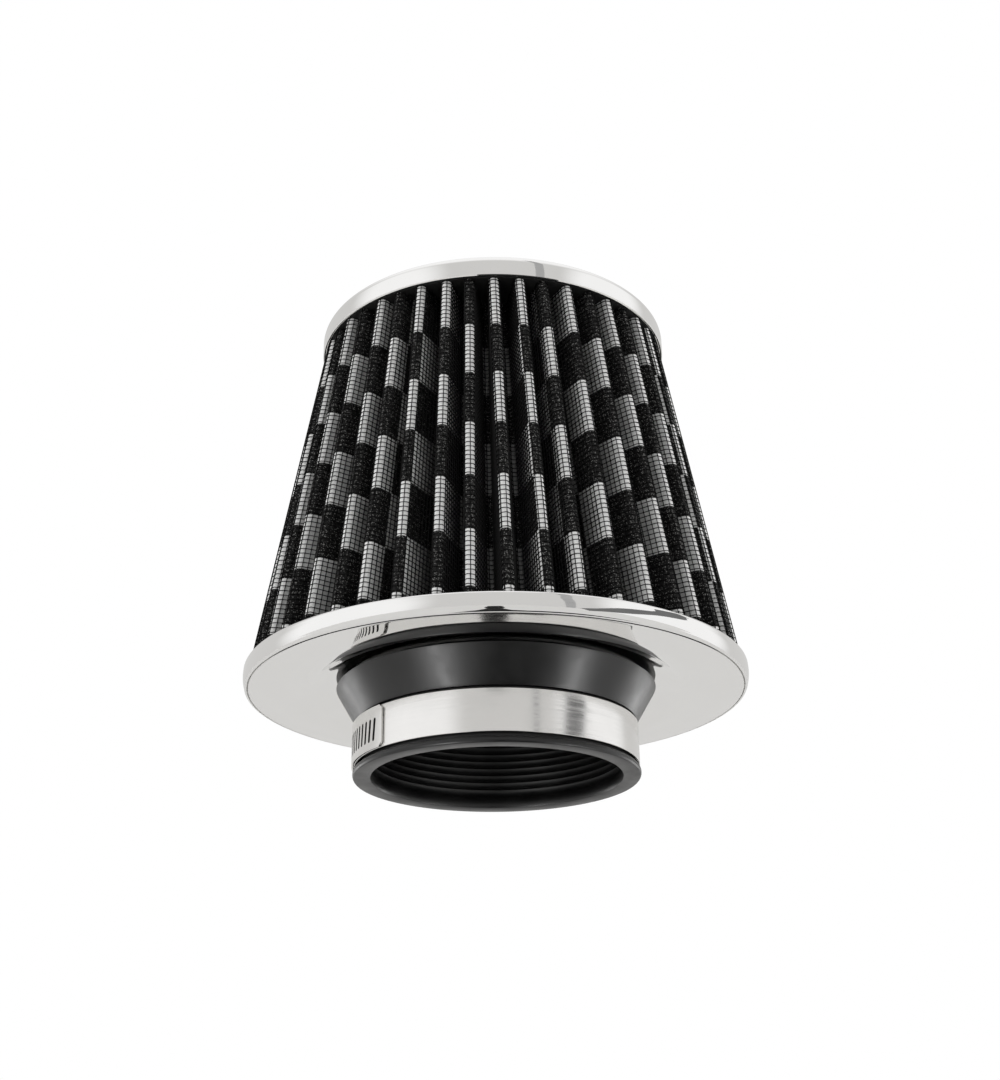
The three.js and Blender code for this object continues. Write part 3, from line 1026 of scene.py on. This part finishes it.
def glow(tree, direction, full, none):
    """1 within full degrees of a direction of the surround, fading to 0 at none degrees."""
    coordinates = node(tree, "ShaderNodeTexCoord")
    along = node(tree, "ShaderNodeVectorMath", operation="DOT_PRODUCT")
    tree.links.new(coordinates.outputs["Generated"], along.inputs[0])
    along.inputs[1].default_value = direction
    fade = node(tree, "ShaderNodeMapRange", {
        "From Min": math.cos(math.radians(none)), "From Max": math.cos(math.radians(full)),
    }, interpolation_type="SMOOTHSTEP")
    tree.links.new(along.outputs["Value"], fade.inputs["Value"])
    return fade.outputs["Result"]


def world():
    """A white studio: pure white to the camera, with soft windows for light and reflections."""
    surround = bpy.data.worlds.new("studio")
    bpy.context.scene.world = surround
    surround.use_nodes = True
    tree = surround.node_tree
    path = node(tree, "ShaderNodeLightPath")
    tone = mix_colour(tree, path.outputs["Is Diffuse Ray"], (0.66, 0.655, 0.645), (0.16, 0.16, 0.16))
    window = mix_colour(tree, path.outputs["Is Diffuse Ray"], (1.0, 1.0, 1.0), (2.0, 2.0, 2.0))
    for direction, full, none in (
        (toward(-68, 12), 24, 44),
        (toward(84, 12), 26, 42),
        (toward(0, 90), 25, 50),
    ):
        tone = mix_colour(tree, glow(tree, direction, full, none), tone, window)
    colour = mix_colour(tree, path.outputs["Is Camera Ray"], tone, (1.0, 1.0, 1.0))
    tree.links.new(colour, tree.nodes["Background"].inputs["Color"])


def flag_material(tone):
    """The dull face of one of the studio's grey flags."""
    material, tree, shader = new_material("flag")
    cloud = noise(tree, 6, detail=2)
    colour = mix_colour(tree, cloud, (tone, tone, tone), (1.4 * tone, 1.4 * tone, 1.4 * tone))
    tree.links.new(colour, shader.inputs["Emission Color"])
    shader.inputs["Emission Strength"].default_value = 1
    shader.inputs["Base Color"].default_value = (0, 0, 0, 1)
    shader.inputs["Specular IOR Level"].default_value = 0
    return material


def flag(name, azimuth, elevation, width, height, tone, roll=0, distance=1200):
    """A grey card round the object that only its reflections show."""
    w, h = width / 2, height / 2
    corners = [(x, 0, z) for x, z in rectangle(-w, w, -h, h)]
    card = new_object(name, corners, [(0, 1, 2, 3)])
    direction = toward(azimuth, elevation)
    facing = direction.to_track_quat("Y", "Z").to_matrix() @ Matrix.Rotation(math.radians(roll), 3, "Y")
    centre = direction * distance * MM + Vector((0, 0, 0.05))
    card.matrix_world = Matrix.Translation(centre) @ facing.to_4x4()
    hide_from_view(card, tone)


def ground_flag(name, left, right, near, far, tone=0.02):
    """A dark card lying in front of the object, just above the floor."""
    corners = [(x, y, FLOOR_Z + 10) for x, y in rectangle(left, right, -far, -near)]
    card = new_object(name, corners, [(0, 1, 2, 3)])
    hide_from_view(card, tone)


def hide_from_view(card, tone):
    """Leaves a card in reflections only."""
    card.data.materials.append(flag_material(tone))
    card.visible_camera = False
    card.visible_diffuse = False
    card.visible_shadow = False


def camera():
    """The camera in front of the neck and below it, looking up."""
    lens, yaw, pitch, roll = 56.54, 0.0037, 0.3939, -0.0113
    location = Vector((0, -0.467, -0.1154))
    ahead = Vector((math.sin(yaw) * math.cos(pitch), math.cos(yaw) * math.cos(pitch), math.sin(pitch)))
    right = Vector((math.cos(yaw), -math.sin(yaw), 0))
    up = right.cross(ahead)
    level = Matrix((right, up, -ahead)).transposed()
    turned = level @ Matrix.Rotation(roll, 3, "Z")
    data = bpy.data.cameras.new("camera")
    data.sensor_fit = "HORIZONTAL"
    data.sensor_width = 36
    data.lens = lens
    data.clip_start = 0.01
    made = bpy.data.objects.new("camera", data)
    made.matrix_world = Matrix.Translation(location) @ turned.to_4x4()
    bpy.context.scene.collection.objects.link(made)
    bpy.context.scene.camera = made


SHEEN_RECEIVERS = bpy.data.collections.new("sheen_receivers")
SHEEN_RECEIVERS.objects.link(NECK)
floor()
world()
flag("flag_streak", 31, 30, 100, 1500, 0.34)
flag("flag_swoosh", 64, 14, 1500, 190, 0.14, roll=31)
ground_flag("flag_ground", -90, 420, 120, 620)
ground_flag("flag_front", -170, 150, 620, 3600)
sheen_light("sheen_left", toward(-44, -36), 0.05, 0.55)
sheen_light("sheen_right", toward(66, -36), 0.05, 0.5)
sheen_light("sheen_left_side", toward(-128, -6), 0.22, 0.28)
sheen_light("sheen_right_side", toward(128, -6), 0.22, 0.28)
camera()
bpy.context.scene.view_settings.view_transform = "Standard"
